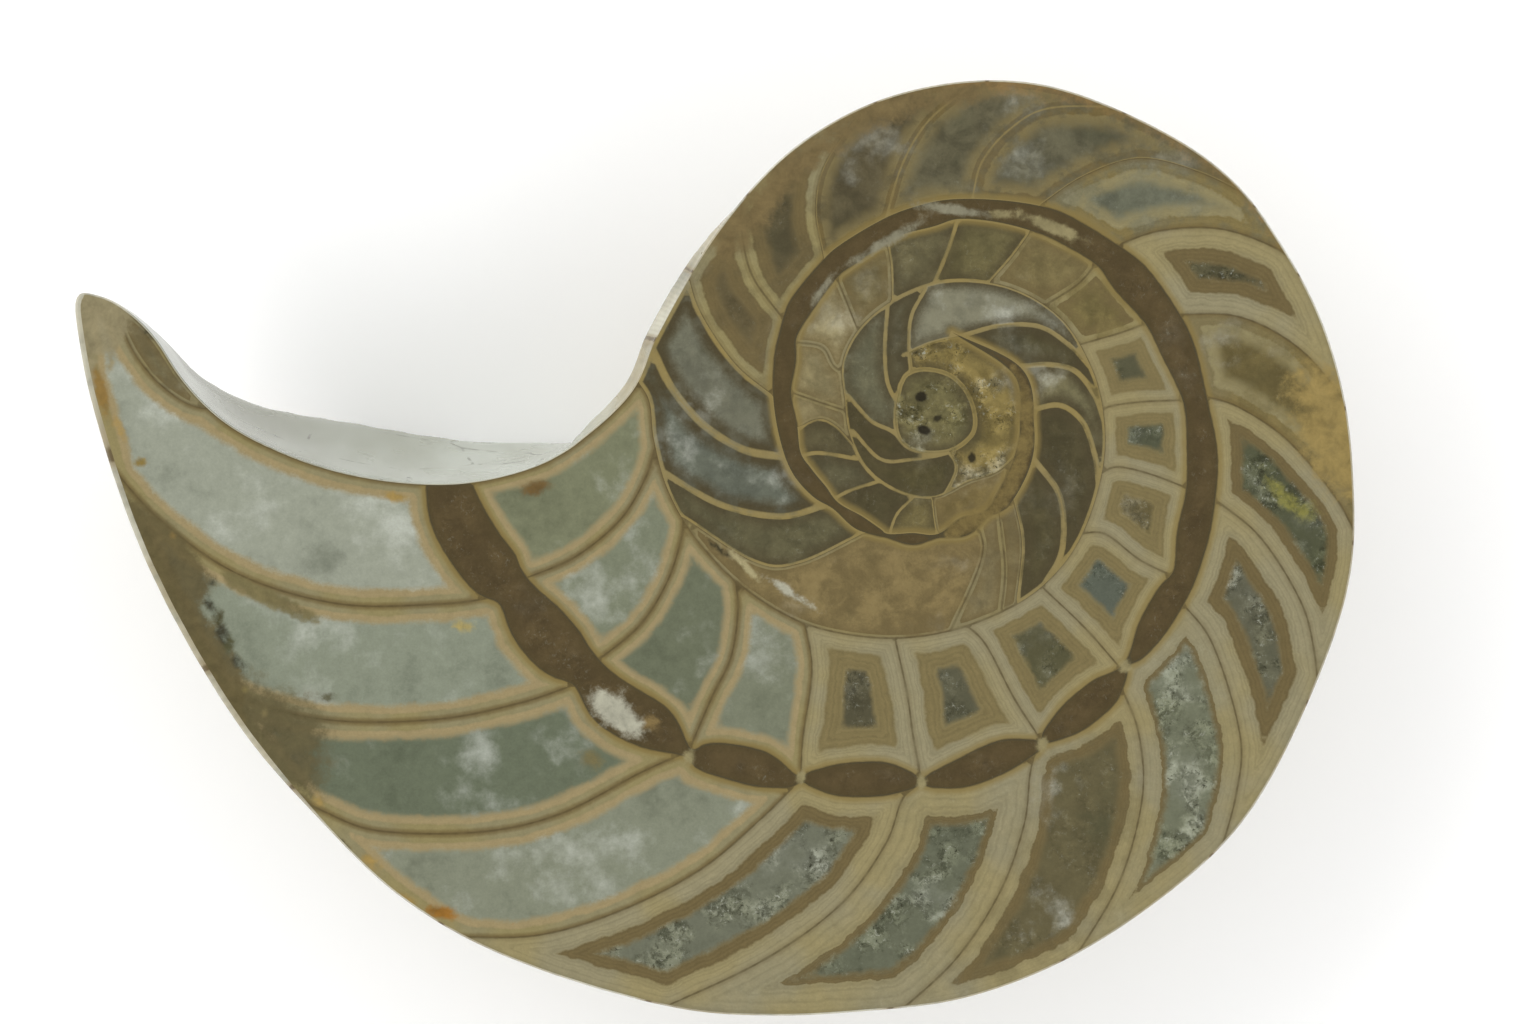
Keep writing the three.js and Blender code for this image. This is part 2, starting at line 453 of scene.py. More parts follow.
fine = hexagonal_grid(FINE_GRID)
coarse = hexagonal_grid(COARSE_GRID)
grid = np.vstack([fine[within_coil(fine)], coarse[~within_coil(coarse)]])
grid = grid[inside_outline(grid, face_outline)]
grid = grid[nearest_on(plan, grid)[1] > CLEAR_OF_LINES]
plan.extend(Vector(point) for point in grid)
triangulated = delaunay_2d_cdt(plan, plan_edges, [], TRIANGLES_INSIDE, 1e-7)
cut_points, cut_edges, cut_faces, cut_sources, edge_sources, _ = triangulated
cut_places = np.array(cut_points)


# The chambers: water seeped in through the wall and filled each with calcite, layer on
# layer from its sides inwards, tan and cream first and clear grey-green at the core.
# Each chamber is the patch of triangles shut in by walls round a point inside it.
def patches_between_walls():
    """For each triangle of the face, the number of the patch that it is in."""
    wall_edges = set()
    for edge, sources in zip(cut_edges, edge_sources):
        if any(source < walls_end for source in sources):
            wall_edges.add(tuple(sorted(edge)))
    across = {}
    for number, (a, b, c) in enumerate(cut_faces):
        for edge in ((a, b), (b, c), (c, a)):
            across.setdefault(tuple(sorted(edge)), []).append(number)
    patch = [-1] * len(cut_faces)
    found = 0
    for start in range(len(cut_faces)):
        if patch[start] >= 0:
            continue
        patch[start] = found
        waiting = deque([start])
        while waiting:
            a, b, c = cut_faces[waiting.popleft()]
            for edge in ((a, b), (b, c), (c, a)):
                edge = tuple(sorted(edge))
                if edge in wall_edges:
                    continue
                for neighbour in across[edge]:
                    if patch[neighbour] < 0:
                        patch[neighbour] = found
                        waiting.append(neighbour)
        found += 1
    return np.array(patch)


LIGHT_ON_STONE = 0.76


def stone_colour(red, green, blue):
    """A colour as it shows under the studio's light, 0 to 255, as the shader takes it."""
    shares = np.array([red, green, blue]) / 255
    linear = np.where(shares < 0.04045, shares / 12.92, ((shares + 0.055) / 1.055) ** 2.4)
    return linear * LIGHT_ON_STONE


TAN = (146, 136, 98)
PEACH = (160, 144, 105)
CREAM = (150, 140, 105)
BROWN = (114, 100, 66)
OLIVE_TAN = (129, 116, 78)
DARK_BROWN = (84, 72, 46)
GOLD = (146, 130, 84)
SHADOW = (80, 72, 50)
# How a chamber was filled: the lining's share of the margin, the colours of the lining,
# of the band inside it and of the septum's line, how brown the stone is beside that
# line, how far the core is clouded and broken into crystals, and how patchy the margin is.
FILLING_COLUMNS = (
    "lining_share", "lining", "band", "line_shade", "beside_line", "cloud", "crystal", "patchy",
)
FILLINGS = {
    "milky": (0.5, TAN, PEACH, DARK_BROWN, 0.9, 1.0, 0.0, 0.0),
    "banded": (0.55, CREAM, BROWN, DARK_BROWN, 0.25, 0.6, 1.0, 0.0),
    "creamy": (0.78, CREAM, BROWN, DARK_BROWN, 0.25, 0.8, 1.0, 0.1),
    "clouded": (0.55, CREAM, BROWN, DARK_BROWN, 0.25, 1.1, 0.35, 0.25),
    "nested": (0.42, CREAM, OLIVE_TAN, DARK_BROWN, 0.25, 0.5, 0.6, 0.0),
    "layered": (0.5, OLIVE_TAN, TAN, DARK_BROWN, 0.5, 0.8, 0.2, 0.5),
    "edged": (0.36, TAN, BROWN, DARK_BROWN, 0.4, 0.7, 0.2, 0.35),
    "browned": (0.5, BROWN, OLIVE_TAN, GOLD, 0.0, 0.8, 0.1, 0.7),
    "smoky": (0.3, GOLD, SHADOW, GOLD, 0.0, 0.45, 0.2, 0.6),
    "misty": (0.22, GOLD, SHADOW, GOLD, 0.0, 1.1, 0.1, 0.4),
    "muddy": (0.5, TAN, BROWN, DARK_BROWN, 0.3, 0.6, 0.05, 0.7),
    "breccia": (0.4, GOLD, SHADOW, (118, 106, 66), 0.0, 1.2, 1.0, 0.8),
    "tube": (0.3, SHADOW, DARK_BROWN, SHADOW, 0.0, 0.3, 0.25, 0.45),
}
# Each has a point inside it, its filling, the margin's width in millimetres and its core.
CHAMBERS = [
    # The last whorl outside the siphuncle, from the hollow backwards.
    ((182, 386), "muddy", 0.5, (112, 106, 80)), ((300, 530), "milky", 1.5, (156, 160, 143)),
    ((400, 660), "milky", 1.45, (139, 145, 126)), ((400, 770), "milky", 1.5, (106, 113, 92)),
    ((480, 880), "milky", 1.5, (134, 138, 118)),
    ((720, 900), "banded", 2.9, (112, 114, 96)), ((880, 930), "creamy", 3.2, (104, 107, 88)),
    ((1070, 850), "clouded", 2.0, (100, 93, 66)), ((1190, 780), "creamy", 2.0, (114, 117, 96)),
    ((1270, 690), "banded", 3.0, (98, 97, 78)), ((1285, 520), "banded", 2.2, (84, 86, 64)),
    ((1260, 395), "layered", 1.7, (108, 97, 62)), ((1240, 282), "banded", 3.1, (84, 80, 58)),
    ((1180, 200), "layered", 1.9, (104, 106, 90)), ((1090, 140), "browned", 1.3, (98, 95, 76)),
    ((960, 170), "browned", 0.8, (96, 92, 72)), ((860, 180), "browned", 0.8, (90, 83, 62)),
    ((785, 225), "edged", 2.0, (86, 79, 57)), ((725, 290), "edged", 2.0, (98, 88, 62)),
    # The last whorl inside the siphuncle.
    ((560, 510), "milky", 1.2, (124, 127, 100)), ((625, 590), "milky", 1.2, (125, 130, 108)),
    ((700, 620), "milky", 1.2, (109, 114, 92)), ((770, 690), "milky", 1.3, (124, 128, 107)),
    ((857, 700), "nested", 3.1, (84, 80, 60)), ((960, 690), "nested", 3.0, (92, 90, 70)),
    ((1040, 660), "nested", 2.4, (88, 85, 60)), ((1098, 590), "nested", 2.3, (92, 97, 84)),
    ((1140, 515), "nested", 2.4, (102, 92, 60)), ((1145, 440), "nested", 2.1, (84, 86, 66)),
    ((1128, 365), "nested", 2.0, (88, 86, 64)), ((1110, 310), "muddy", 1.0, (118, 107, 69)),
    ((1070, 262), "muddy", 0.7, (120, 109, 74)), ((980, 247), "smoky", 0.5, (104, 97, 66)),
    ((920, 255), "smoky", 0.5, (102, 96, 70)), ((868, 282), "muddy", 0.6, (112, 102, 70)),
    ((820, 320), "muddy", 0.5, (146, 136, 102)), ((818, 380), "muddy", 0.5, (140, 130, 96)),
    ((818, 412), "muddy", 0.5, (140, 130, 96)), ((820, 440), "smoky", 0.5, (92, 86, 62)),
    ((830, 478), "smoky", 0.5, (92, 88, 66)), ((870, 505), "smoky", 0.4, (78, 72, 50)),
    ((912, 513), "smoky", 0.3, (116, 106, 70)), ((955, 510), "muddy", 0.4, (120, 106, 68)),
    # The whorl before.
    ((710, 385), "misty", 1.1, (110, 110, 94)), ((740, 475), "misty", 1.1, (100, 104, 92)),
    ((775, 540), "smoky", 0.6, (96, 92, 68)), ((850, 600), "muddy", 0.5, (128, 113, 77)),
    ((990, 570), "muddy", 0.6, (122, 112, 82)), ((1011, 554), "muddy", 0.4, (116, 106, 76)),
    ((1040, 530), "smoky", 0.7, (84, 78, 54)), ((1065, 450), "smoky", 0.7, (80, 74, 52)),
    ((1065, 390), "misty", 0.7, (120, 114, 84)), ((1040, 347), "smoky", 0.7, (78, 73, 50)),
    ((970, 312), "misty", 0.5, (128, 126, 106)), ((899, 340), "smoky", 0.5, (84, 80, 60)),
    ((866, 375), "smoky", 0.5, (106, 104, 82)), ((870, 438), "smoky", 0.5, (78, 72, 48)),
    ((915, 475), "smoky", 0.4, (84, 78, 52)), ((935, 410), "breccia", 0.5, (108, 102, 70)),
    ((1000, 400), "breccia", 0.4, (128, 114, 70)),
]
SIPHUNCLE_BROWN = (88, 75, 50)
SIPHUNCLE_MARGIN = 0.4
LEFT_OVER = ("muddy", 0.5, (112, 102, 72))

patch_of = patches_between_walls()
triangle_middles = cut_places[np.array(cut_faces)].mean(axis=1)
middle_tree = tree_of(triangle_middles)


def patch_at(x, y):
    return patch_of[middle_tree.find((x, y, 0))[1]]


filled = {}
for (x, y), filling, margin, core in CHAMBERS:
    filled[patch_at(*on_face(x, y))] = (filling, margin, core)
for x, y, wide in SIPHUNCLE:
    filled.setdefault(patch_at(*on_face(x, y)), ("tube", SIPHUNCLE_MARGIN, SIPHUNCLE_BROWN))
by_patch = [filled.get(number, LEFT_OVER) for number in range(patch_of.max() + 1)]


# The stains: iron rusted out of the sediment and spread as soft blotches, mud lay along
# the outer wall before the calcite grew, and air left dark pits. A zone is an outline
# with soft edges, and a spot has its half sizes and turn.
RUST = (150, 104, 40)
AMBER = (160, 134, 76)
SOOT = (58, 54, 38)
MUD = (98, 88, 58)
OLIVE = (116, 107, 72)
CHALK = (178, 176, 156)
SMOKE = (138, 134, 112)
ZONES = [
    # outline, softness in millimetres, colour, strength
    ([(60, 280), (104, 288), (128, 306), (132, 326), (120, 346), (110, 370), (104, 350),
      (96, 366), (92, 402), (70, 380)], 1.0, (146, 136, 104), 0.95),
    ([(104, 462), (130, 492), (170, 526), (200, 556), (214, 584), (206, 610), (232, 650),
      (246, 676), (256, 730), (262, 770), (200, 720), (130, 560)], 1.5, MUD, 1.0),
    ([(210, 660), (262, 676), (316, 706), (336, 742), (326, 776), (316, 806), (300, 812),
      (250, 770), (214, 720)], 3.0, (96, 88, 60), 0.85),
    ([(220, 568), (256, 582), (300, 603), (320, 622), (300, 622), (262, 604), (228, 586)], 0.6,
     OLIVE, 0.85),
    ([(1300, 360), (1350, 380), (1375, 470), (1350, 500), (1310, 470), (1290, 400)], 3.0,
     (152, 132, 80), 0.9),
    ([(900, 60), (1100, 70), (1240, 150), (1345, 300), (1390, 380), (1334, 330), (1296, 270),
      (1236, 190), (1150, 130), (1040, 96), (940, 98)], 1.8, (134, 110, 70), 0.85),
    ([(944, 540), (968, 536), (994, 518), (1014, 496), (1030, 462), (1036, 425), (1028, 380),
      (1010, 364), (1014, 400), (1018, 425), (1012, 458), (996, 488), (976, 508), (944, 524)], 0.5,
     (122, 106, 64), 0.7),
    ([(700, 240), (760, 166), (840, 104), (930, 70), (1000, 64), (990, 100), (920, 116),
      (850, 148), (790, 196), (736, 262)], 1.4, (118, 102, 68), 0.8),
    ([(1262, 470), (1296, 494), (1318, 512), (1300, 522), (1270, 492)], 1.4, (132, 128, 66), 0.8),
]
SPOTS = [
    # middle, half length, half width, turn in degrees, colour, strength
    ((101, 392), 30, 6, 74, (140, 112, 60), 1.0), ((84, 340), 30, 4, 80, (158, 148, 122), 0.8),
    ((141, 462), 7, 5, 0, (142, 120, 60), 1.0),
    ((122, 432), 22, 5, 60, AMBER, 0.7), ((150, 335), 14, 6, 50, SOOT, 0.6),
    ((208, 604), 12, 7, 60, SOOT, 0.9), ((222, 634), 14, 8, 70, SOOT, 0.8),
    ((236, 662), 14, 7, 40, SOOT, 0.8), ((212, 580), 8, 4, 80, SOOT, 0.8),
    ((219, 618), 5, 9, 10, (74, 70, 44), 0.9), ((200, 590), 10, 5, 70, (84, 80, 52), 0.9),
    ((228, 646), 6, 10, 30, (80, 78, 50), 0.9), ((170, 535), 12, 4, 50, (120, 100, 58), 0.9),
    ((246, 690), 10, 6, 20, (124, 112, 70), 0.9),
    ((226, 700), 20, 6, 50, AMBER, 0.6), ((300, 770), 16, 7, 60, (70, 66, 42), 0.7),
    ((318, 800), 14, 5, 50, AMBER, 0.7), ((264, 712), 16, 8, 30, (120, 108, 72), 0.9),
    ((330, 697), 12, 6, 0, (88, 84, 58), 0.7), ((307, 615), 14, 6, 20, OLIVE, 0.9),
    ((395, 497), 13, 5, 15, AMBER, 0.9), ((462, 626), 12, 5, 10, (170, 154, 96), 0.9),
    ((535, 488), 15, 8, -15, (112, 88, 50), 1.0), ((440, 912), 14, 6, 12, RUST, 1.1),
    ((404, 900), 18, 7, 30, AMBER, 0.9), ((370, 862), 20, 8, 45, AMBER, 0.7),
    ((345, 845), 10, 3, 45, SOOT, 0.8), ((592, 758), 14, 12, 20, OLIVE, 0.8),
    ((617, 714), 27, 12, 38, CHALK, 1.3), ((652, 724), 10, 7, 20, (132, 112, 72), 0.9),
    ((953, 210), 38, 5, 8, SMOKE, 1.0), ((884, 243), 44, 5, -30, SMOKE, 1.0),
    ((822, 290), 22, 4, -55, SMOKE, 0.8), ((1052, 227), 30, 6, 22, TAN, 1.1),
    ((1000, 214), 12, 5, 0, TAN, 0.9), ((690, 757), 5, 7, 20, TAN, 1.1),
    ((801, 778), 4, 7, 0, TAN, 1.1), ((922, 782), 4, 7, 0, TAN, 1.1),
    ((1043, 744), 5, 7, 30, TAN, 1.1), ((1126, 666), 6, 7, 50, TAN, 1.1),
    ((790, 592), 30, 4, 32, CHALK, 0.9), ((745, 566), 22, 4, 45, (170, 160, 120), 0.9),
    ((718, 548), 16, 3, 40, SOOT, 0.9), ((921, 397), 5, 5, 0, (40, 36, 26), 1.4),
    ((924, 430), 6, 4, 20, (40, 36, 26), 1.4), ((938, 418), 5, 3, -30, (50, 46, 32), 1.2),
    ((972, 457), 4, 5, 0, (44, 40, 28), 1.2),
]


def soft_spots(points):
    """For each spot, its strength at each of the points, with its colour."""
    for middle, length, width, turn, shade, power in SPOTS:
        offset = points - np.array(on_face(*middle))
        turned = math.radians(turn)
        lengthwise = offset[:, 0] * math.cos(turned) - offset[:, 1] * math.sin(turned)
        across = offset[:, 0] * math.sin(turned) + offset[:, 1] * math.cos(turned)
        reach = (lengthwise / (length * PIXEL)) ** 2 + (across / (width * PIXEL)) ** 2
        yield power * np.exp(-reach * 0.7), shade


def soft_zones(points):
    """For each zone, its strength at each of the points, with its colour."""
    for pixels, softness, shade, power in ZONES:
        outline = smooth_line([on_face(*pixel) for pixel in pixels + pixels[:1]], 0.4 * MM)
        inside = np.where(inside_outline(points, outline), 1, -1)
        depth = nearest_on(outline, points)[1] * inside / MM
        yield power * fade(depth, -softness, softness), shade


def stain_fields(points):
    """The strongest stain's strength and colour at each place on the face."""
    strength = np.zeros(len(points))
    colour = np.tile(stone_colour(*MUD), (len(points), 1))
    for here, shade in [*soft_zones(points), *soft_spots(points)]:
        stronger = here > strength
        strength = np.where(stronger, here, strength)
        colour[stronger] = stone_colour(*shade)
    return strength, colour


# The finished half, one piece: flank, hollow, rounded rim and polished face share
# their points, so it is one closed mesh. Each point keeps how far it lies from a wall,
# and each triangle how its chamber was filled, for the stone's colours.
rim_start = len(flank_points)
ring_numbers = [rim_loop]
for number in range(len(rim_rings) - 1):
    first = rim_start + number * rim_size
    ring_numbers.append(list(range(first, first + rim_size)))
face_start = rim_start + (len(rim_rings) - 1) * rim_size
on_rim = {sources[0]: vertex for vertex, sources in enumerate(cut_sources)
          if sources and sources[0] < rim_size}
ring_numbers.append([face_start + on_rim[i] for i in range(rim_size)])

face_points = np.column_stack([cut_places, np.full(len(cut_places), FACE_LEVEL)])
points = np.vstack([flank_points] + rim_rings[:-1] + [face_points])
faces = list(flank_faces)
for lower, upper in zip(ring_numbers, ring_numbers[1:]):
    for i in range(rim_size):
        j = (i + 1) % rim_size
        faces.append((lower[i], lower[j], upper[j], upper[i]))
outside_count = len(faces)
for corners in cut_faces:
    (ax, ay), (bx, by), (cx, cy) = cut_places[list(corners)]
    upward = (bx - ax) * (cy - ay) - (by - ay) * (cx - ax) > 0
    corners = corners if upward else corners[::-1]
    faces.append(tuple(face_start + corner for corner in corners))

half_mesh = bpy.data.meshes.new("fossil_half")
half_mesh.from_pydata(points.tolist(), [], faces)
half_mesh.validate()
half = bpy.data.objects.new("fossil_half", half_mesh)
bpy.context.collection.objects.link(half)
bpy.data.objects.remove(rough)
take_up(half)
bpy.ops.object.shade_smooth()


def keep(name, values, domain):
    """Keeps a number or a colour for each point or face of the half."""
    if values.ndim == 1:
        attribute = half_mesh.attributes.new(name, "FLOAT", domain)
        attribute.data.foreach_set("value", np.asarray(values, np.float32))
    else:
        attribute = half_mesh.attributes.new(name, "FLOAT_COLOR", domain)
        opaque = np.column_stack([values, np.ones(len(values))])
        attribute.data.foreach_set("color", opaque.ravel())


def keep_on_cut(name, values, domain, before):
    """Keeps values on the cut face, whose points or triangles come after the others."""
    blank = np.zeros((before, *values.shape[1:]))
    keep(name, np.concatenate([blank, values]), domain)


# The edge of the hollow, with how far the stone below each point is the last septum.
HOLLOW_EDGE = [
    (120, 300, 0.0), (140, 319, 1.0), (160, 341, 1.0), (180, 373, 1.0), (208, 405, 1.0),
    (240, 430, 1.0), (300, 458, 1.0), (360, 475, 1.0), (430, 483, 1.0), (480, 480, 1.0),
    (540, 464, 1.0), (580, 443, 0.8), (612, 414, 0.3), (636, 384, 0.0),
]

# Distances in millimetres, measured to lines drawn finer than the mesh. The edge of the
# hollow has a brown line like the septa, which is what it is.
FINE_DRAWING = 0.08 * MM
NEAR_THE_HOLLOW = 0.6 * MM
fine_walls = long_walls(FINE_DRAWING)
edge_line = smooth_line(np.vstack([face_outline, face_outline[:1]]), FINE_DRAWING)
hollow_edge = face_line([point[:2] for point in HOLLOW_EDGE])
edge_of_hollow = edge_line[nearest_on(hollow_edge, edge_line)[1] < NEAR_THE_HOLLOW]
drawn_walls = np.vstack([*fine_walls, *septa_between(fine_walls, FINE_DRAWING), edge_of_hollow])
stain_strength, stain_shade = stain_fields(cut_places)
for name, values in (
    ("to_wall", nearest_on(np.vstack([drawn_walls, edge_line]), cut_places)[1] / MM),
    ("to_line", nearest_on(drawn_walls, cut_places)[1] / MM),
    ("to_tube", nearest_on(np.vstack(siphuncle_sides(FINE_DRAWING)), cut_places)[1] / MM),
    ("stain", stain_strength),
    ("stain_colour", stain_shade),
):
    keep_on_cut(name, values, "POINT", face_start)

fillings = [FILLINGS[filling] for filling, _, _ in by_patch]
for name, values in zip(FILLING_COLUMNS, zip(*fillings)):
    if name in ("lining", "band", "line_shade"):
        values = [stone_colour(*shade) for shade in values]
    keep_on_cut(name, np.array(values)[patch_of], "FACE", outside_count)
for name, values in (
    ("margin", [margin for _, margin, _ in by_patch]),
    ("core", [stone_colour(*shade) for _, _, shade in by_patch]),
    ("outside_tube", [filling != "tube" for filling, _, _ in by_patch]),
):
    keep_on_cut(name, np.array(values)[patch_of], "FACE", outside_count)


# The polished cut, as a material: the septum's dark line, the cream and brown layers
# that follow it inwards, the clouded core, and the stains over all of them. Polished
# with tin oxide, the stone is glossy, its roughness varying a little with a fine grain.
MILK = (212, 215, 204)
DEEP_GREEN = (64, 70, 52)
CRYSTAL_AND_GLINT = (166, 168, 152)
PIT = (50, 49, 36)
BESIDE_SEPTUM = (104, 86, 50)
BESIDE_SIPHUNCLE = (140, 122, 72)


def paint(colour):
    return (*stone_colour(*colour), 1)


def add(tree, kind, **settings):
    node = tree.nodes.new(kind)
    for name, value in settings.items():
        setattr(node, name, value)
    return node


def feed(tree, socket, value):
    if isinstance(value, bpy.types.NodeSocket):
        tree.links.new(value, socket)
    else:
        socket.default_value = value


def calculate(tree, operation, *values, clamp=False):
    node = add(tree, "ShaderNodeMath", operation=operation, use_clamp=clamp)
    for socket, value in zip(node.inputs, values):
        feed(tree, socket, value)
    return node.outputs[0]


def plus(tree, total, *others):
    for value in others:
        total = calculate(tree, "ADD", total, value)
    return total


def times(tree, product, *others):
    for value in others:
        product = calculate(tree, "MULTIPLY", product, value)
    return product


def centred(tree, value, reach):
    return times(tree, calculate(tree, "SUBTRACT", value, 0.5), reach)


def rise(tree, value, low, high, bottom=0.0, top=1.0, steps="SMOOTHSTEP"):
    """A smooth step from bottom to top as value goes from low to high."""
    node = add(tree, "ShaderNodeMapRange", interpolation_type=steps)
    for socket, number in zip(node.inputs, (value, low, high, bottom, top)):
        feed(tree, socket, number)
    return node.outputs[0]


def blend_colours(tree, share, under, over, way="MIX"):
    node = add(tree, "ShaderNodeMix", data_type="RGBA", blend_type=way)
    feed(tree, node.inputs[0], share)
    feed(tree, node.inputs[6], under)
    feed(tree, node.inputs[7], over)
    return node.outputs[2]


def tinted(tree, stone, tint, share=1.0):
    return blend_colours(tree, share, stone, tint, "MULTIPLY")


def shades(tree, value, stops):
    """Grey levels along a value, as (place, level) stops."""
    node = add(tree, "ShaderNodeValToRGB")
    elements = node.color_ramp.elements
    for place, level in stops[2:]:
        elements.new(place)
    for element, (place, level) in zip(elements, stops):
        element.position = place
        element.color = (level, level, level, 1)
    feed(tree, node.inputs[0], value)
    return node.outputs[0]


def kept(tree, name, output="Fac"):
    return add(tree, "ShaderNodeAttribute", attribute_name=name).outputs[output]


def shader_group(name, inputs, outputs):
    """A node group with named inputs and outputs, and the sockets inside it."""
    group = bpy.data.node_groups.new(name, "ShaderNodeTree")
    for sockets, in_out in ((inputs, "INPUT"), (outputs, "OUTPUT")):
        for socket, kind in sockets.items():
            group.interface.new_socket(socket, in_out=in_out, socket_type="NodeSocket" + kind)
    return group, add(group, "NodeGroupInput").outputs, add(group, "NodeGroupOutput").inputs


def place_group(tree, group, **values):
    """Places a node group in a material with its own values, and returns its outputs."""
    node = add(tree, "ShaderNodeGroup", node_tree=group)
    for name, value in values.items():
        feed(tree, node.inputs[name], value)
    return node.outputs


def material_for(name):
    made = bpy.data.materials.new(name)
    made.use_nodes = True
    return made, made.node_tree, made.node_tree.nodes["Principled BSDF"]


# Three effects that the cut and the outside share: the stone's grain, fine lines of
# growth at an even distance, and grime that follows a grain.
grain_group, given, result = shader_group("stone_grain", {
    "Scale": "Float", "Detail": "Float", "Roughness": "Float", "Warp": "Float", "Stretch": "Vector",
}, {"Grain": "Float"})
stretched = add(grain_group, "ShaderNodeVectorMath", operation="MULTIPLY")
feed(grain_group, stretched.inputs[0], add(grain_group, "ShaderNodeTexCoord").outputs["Object"])
feed(grain_group, stretched.inputs[1], given["Stretch"])
texture = add(grain_group, "ShaderNodeTexNoise")
feed(grain_group, texture.inputs["Vector"], stretched.outputs[0])
feed(grain_group, texture.inputs["Scale"], given["Scale"])
feed(grain_group, texture.inputs["Detail"], given["Detail"])
feed(grain_group, texture.inputs["Roughness"], given["Roughness"])
feed(grain_group, texture.inputs["Distortion"], given["Warp"])
feed(grain_group, result["Grain"], texture.outputs["Fac"])

growth_group, given, result = shader_group("growth_lines", {
    "Distance": "Float", "Lines": "Float", "Wander": "Float",
}, {"Line": "Float"})
wave = calculate(growth_group, "MULTIPLY_ADD", given["Distance"], given["Lines"], given["Wander"])
wave = calculate(growth_group, "SINE", wave)
feed(growth_group, result["Line"], calculate(growth_group, "MULTIPLY_ADD", wave, 0.5, 0.5))

grime_group, given, result = shader_group("grime", {
    "Clean": "Color", "Grain": "Float", "Dark": "Float", "Pale": "Float",
}, {"Grimy": "Color"})
tint = rise(grime_group, given["Grain"], 0.3, 0.7, given["Dark"], given["Pale"], steps="LINEAR")
feed(grime_group, result["Grimy"], tinted(grime_group, given["Clean"], tint))


def noise(tree, grain_mm, detail=4.0, roughness=0.6, warp=0.0, stretch=(1, 1, 1)):
    """The stone's grain at the given size, from 0 to 1, on the piece's own coordinates."""
    return place_group(tree, grain_group, Scale=1 / (grain_mm * MM), Detail=detail,
                       Roughness=roughness, Warp=warp, Stretch=stretch)["Grain"]


def growth_lines(tree, distance, lines, wander):
    return place_group(tree, growth_group, Distance=distance, Lines=lines, Wander=wander)["Line"]


def soiled(tree, stone, grain, dark, pale):
    return place_group(tree, grime_group, Clean=stone, Grain=grain, Dark=dark, Pale=pale)["Grimy"]


polished, tree, shader = material_for("polished_cut")
broad = noise(tree, 8, detail=2, roughness=0.5)
middling = noise(tree, 2.8)
small = noise(tree, 0.9, detail=5, roughness=0.7)
dust = noise(tree, 0.24, detail=3, roughness=0.8)
lumps = noise(tree, 1.5, detail=6, roughness=0.72, warp=0.3)

# How deep each place lies in its chamber, and what share of the lining and the band.
to_wall_mm = kept(tree, "to_wall")
margin_mm = kept(tree, "margin")
lining_share = kept(tree, "lining_share")
patchy = kept(tree, "patchy")
waver = plus(tree, centred(tree, middling, 0.9), centred(tree, small, 0.5))
waver = times(tree, waver, calculate(tree, "MULTIPLY_ADD", patchy, 1.2, 1.0),
              rise(tree, to_wall_mm, 0.1, 1.4))
depth = plus(tree, to_wall_mm, waver)
share = calculate(tree, "DIVIDE", depth, margin_mm, clamp=True)
in_lining = calculate(tree, "DIVIDE", share, lining_share, clamp=True)
band_share = calculate(tree, "SUBTRACT", 1.0, lining_share)
in_band = calculate(tree, "SUBTRACT", share, lining_share)
in_band = calculate(tree, "DIVIDE", in_band, band_share, clamp=True)

# The lining and the band. Wide margins show their layers best.
layered = rise(tree, margin_mm, 1.4, 2.6, 0.25, 1.0)
lining_layers = shades(tree, in_lining, [
    (0.0, 0.84), (0.14, 1.0), (0.34, 1.06), (0.41, 0.9), (0.48, 1.04), (0.66, 1.08), (0.74, 0.92),
    (0.82, 1.06), (0.94, 0.88), (1.0, 0.98),
])
lining_stone = tinted(tree, kept(tree, "lining", "Color"), lining_layers, layered)
warmth = blend_colours(tree, rise(tree, broad, 0.4, 0.6), (1.02, 1.0, 0.9, 1), (0.97, 1.0, 1.08, 1))
lining_stone = tinted(tree, lining_stone, warmth)
band_layers = shades(tree, in_band, [
    (0.0, 1.0), (0.2, 0.9), (0.4, 1.05), (0.52, 0.9), (0.64, 1.02), (0.82, 0.9), (0.92, 1.12),
    (1.0, 1.1),
])
band_stone = tinted(tree, kept(tree, "band", "Color"), band_layers, layered)
margin_stone = blend_colours(tree, rise(tree, in_band, 0.0, 0.22), lining_stone, band_stone)
growth = growth_lines(tree, depth, 19.0, centred(tree, small, 12.0))
growth_shade = shades(tree, growth, [(0.0, 0.975), (0.5, 1.0), (1.0, 1.015)])
margin_stone = tinted(tree, margin_stone, growth_shade, layered)

# The core, with pale and dark clouds, and broken into crystals in some chambers.
core_shade = kept(tree, "core", "Color")
clouds = plus(tree, centred(tree, broad, 1.5), centred(tree, middling, 1.0),
              centred(tree, small, 0.25))
clouds = times(tree, clouds, kept(tree, "cloud"))
pale_core = blend_colours(tree, 0.5, core_shade, paint(MILK))
dark_core = blend_colours(tree, 0.42, core_shade, paint(DEEP_GREEN))
core_stone = blend_colours(tree, rise(tree, clouds, 0.02, 0.6), core_shade, pale_core)
core_stone = blend_colours(tree, rise(tree, clouds, -0.02, -0.55), core_stone, dark_core)

